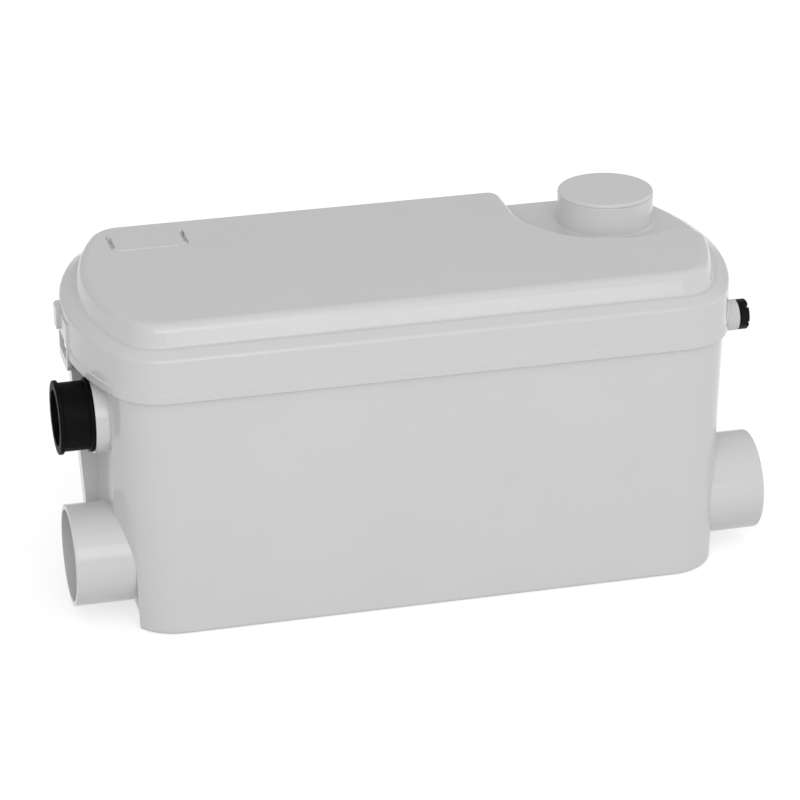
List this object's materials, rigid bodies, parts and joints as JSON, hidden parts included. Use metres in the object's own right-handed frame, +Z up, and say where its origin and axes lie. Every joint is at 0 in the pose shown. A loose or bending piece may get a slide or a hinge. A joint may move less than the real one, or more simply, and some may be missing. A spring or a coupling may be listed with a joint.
{
  "type": "macerator toilet pump",
  "caption": "Small waste-water lifting pump: oblong tank with a clip-on lid, side inlet stubs, capped top port, vent hatch, discharge sleeve and cable gland; cutter pump inside.",
  "frame": {"origin": "centre of the tank's flat underside", "axes": "+Z up, +X along the tank from the discharge end to the cable end, -Y towards the front long side with the inlet stubs nearer to it"},
  "size_m": [0.3538, 0.1566, 0.1663],
  "materials": {
    "white_shell": "smooth white moulding with a faint grain",
    "black_plastic": "black moulding",
    "black_rubber": "black rubber",
    "grey_plastic": "grey moulding",
    "pump_plastic": "dark glass-filled moulding",
    "steel": "stainless steel",
    "motor_metal": "die-cast aluminium",
    "core_steel": "laminated electrical steel",
    "copper": "lacquered copper wire",
    "brass": "brass",
    "filter": "activated carbon foam",
    "capacitor_case": "pale capacitor case"
  },
  "bodies": {
    "case": {"tank": "white_shell", "lid_gasket": "black_rubber", "inlet_seat_left": "grey_plastic", "inlet_seat_right": "grey_plastic", "inlet_flap_pin_left": "steel", "inlet_flap_pin_right": "steel", "discharge_sleeve": "black_rubber", "discharge_valve_body": "white_shell", "discharge_flap_pin": "steel", "discharge_pipe": "grey_plastic", "pump_coupling": "black_rubber", "gland_nut": "black_plastic", "gland_bush": "black_rubber", "deck_plate": "grey_plastic", "deck_screws": "steel", "port_grommet": "black_rubber", "vent_grommet": "black_rubber", "cable_grommet": "black_rubber", "motor_housing": "motor_metal", "motor_end_cap": "motor_metal", "motor_screws": "steel", "motor_mounts": "black_rubber", "motor_mount_screws": "steel", "stator_core": "core_steel", "stator_windings": "copper", "lower_bearing": "steel", "upper_bearing": "steel", "shaft_seal": "black_rubber", "pump_casing": "pump_plastic", "pump_cover": "pump_plastic", "pump_screws": "steel", "strainer": "pump_plastic", "pressure_bell": "grey_plastic", "membrane": "black_rubber", "switch_cover": "black_plastic", "plunger_spring": "steel", "microswitch": "black_plastic", "capacitor": "capacitor_case", "capacitor_clip": "steel", "terminal_block": "grey_plastic", "terminal_screws": "brass"},
    "lid": {"lid": "white_shell"},
    "vent": {"vent_cover": "white_shell", "charcoal_filter": "filter"},
    "cap": {"port_cap": "white_shell", "port_cap_ring": "black_rubber"},
    "rotor": {"rotor_core": "core_steel", "motor_shaft": "steel", "impeller": "pump_plastic", "cutter_blade": "steel", "cutter_spacer": "steel", "shaft_nut": "steel"},
    "flap_left": {"inlet_flap_left": "black_rubber"},
    "flap_right": {"inlet_flap_right": "black_rubber"},
    "check_flap": {"discharge_flap": "black_rubber"},
    "plunger": {"switch_plunger": "grey_plastic"}
  },
  "joints": [
    {"name": "lid_lift", "type": "slide", "parent": "case", "child": "lid", "axis": [0, 0, 1], "range_m": [0, 0.06]},
    {"name": "vent_cover_lift", "type": "slide", "parent": "lid", "child": "vent", "axis": [0, 0, 1], "range_m": [0, 0.03]},
    {"name": "port_cap_lift", "type": "slide", "parent": "lid", "child": "cap", "axis": [0, 0, 1], "range_m": [0, 0.08]},
    {"name": "pump_spin", "type": "hinge", "parent": "case", "child": "rotor", "pos_m": [0, 0, 0.08], "axis": [0, 0, 1], "continuous": true},
    {"name": "inlet_flap_left_swing", "type": "hinge", "parent": "case", "child": "flap_left", "pos_m": [-0.1335, -0.04, 0.0546], "axis": [0, -1, 0], "range_deg": [0, 50]},
    {"name": "inlet_flap_right_swing", "type": "hinge", "parent": "case", "child": "flap_right", "pos_m": [0.1335, -0.04, 0.0546], "axis": [0, 1, 0], "range_deg": [0, 50]},
    {"name": "discharge_flap_swing", "type": "hinge", "parent": "case", "child": "check_flap", "pos_m": [-0.1254, -0.0322, 0.1151], "axis": [0, 1, 0], "range_deg": [0, 55]},
    {"name": "switch_plunger_rise", "type": "slide", "parent": "case", "child": "plunger", "axis": [0, 0, 1], "range_m": [0, 0.002], "stiffness_N_per_m": 250, "springref_m": -0.003, "deforming": ["plunger_spring"]}
  ]
}
